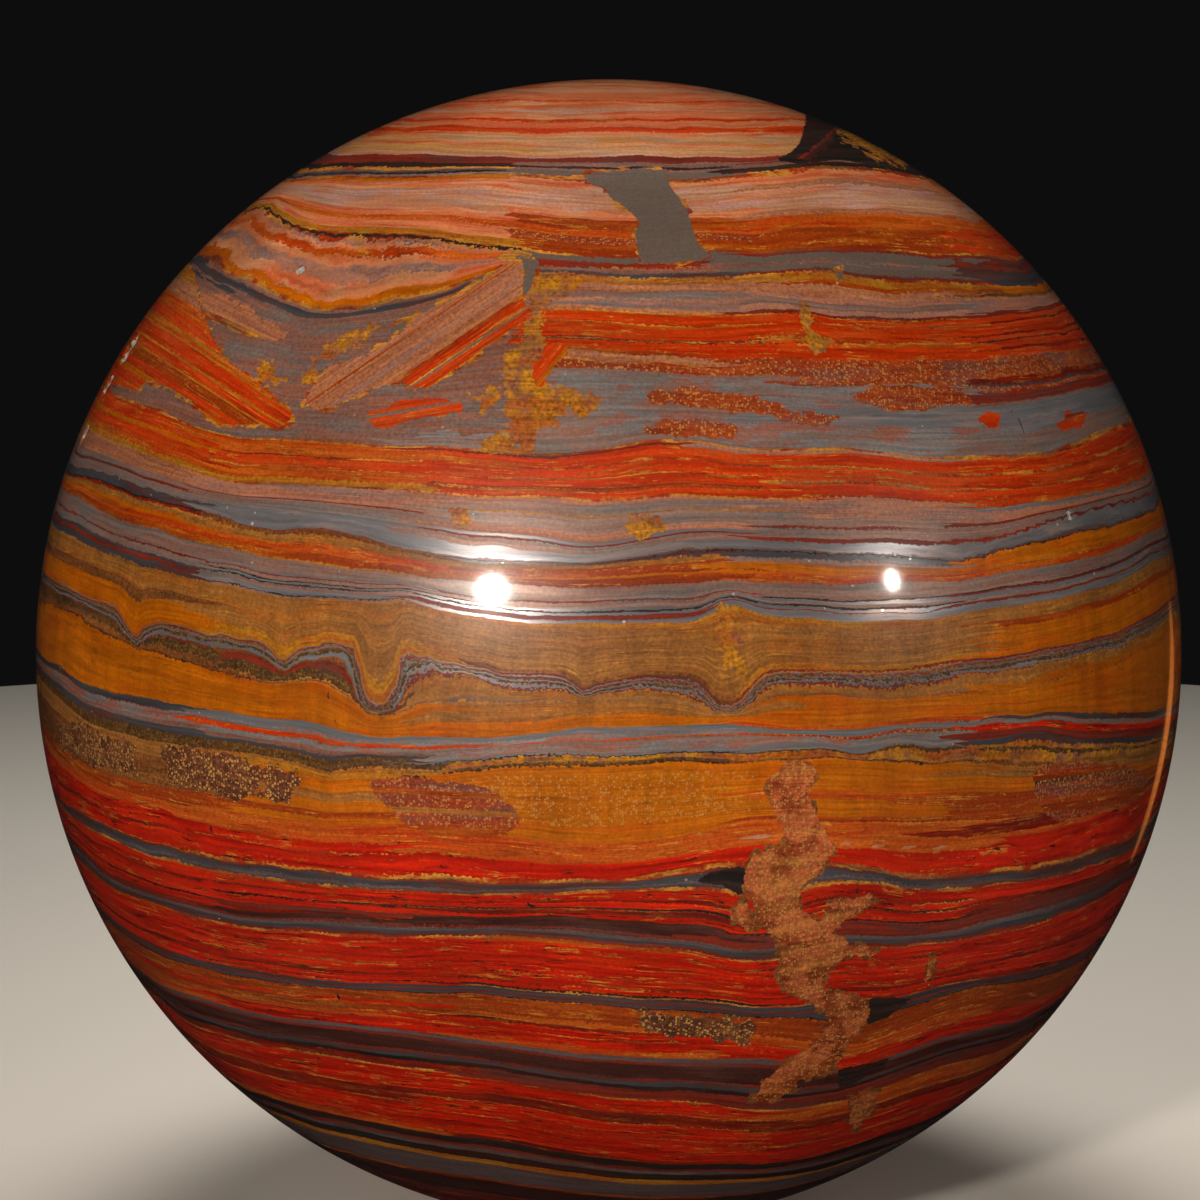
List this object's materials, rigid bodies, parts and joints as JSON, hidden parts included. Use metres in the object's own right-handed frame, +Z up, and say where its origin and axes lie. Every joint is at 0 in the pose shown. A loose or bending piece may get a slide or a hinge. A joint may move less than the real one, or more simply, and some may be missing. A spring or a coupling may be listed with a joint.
{
  "type": "tiger iron sphere",
  "caption": "Polished ball of banded tiger iron: red jasper, golden tiger's eye and grey hematite in wavy beds, with a small flat ground under it to stand on.",
  "frame": {"origin": "on the resting surface, in the middle of the small flat under the ball", "axes": "+Z up through the middle of the ball, -Y towards the side that shows in the picture, +X to its right"},
  "size_m": [0.1, 0.1, 0.0997],
  "materials": {
    "polished_tiger_iron": "mirror-polished banded stone"
  },
  "bodies": {
    "root": {"tiger_iron_sphere": "polished_tiger_iron"}
  },
  "joints": []
}
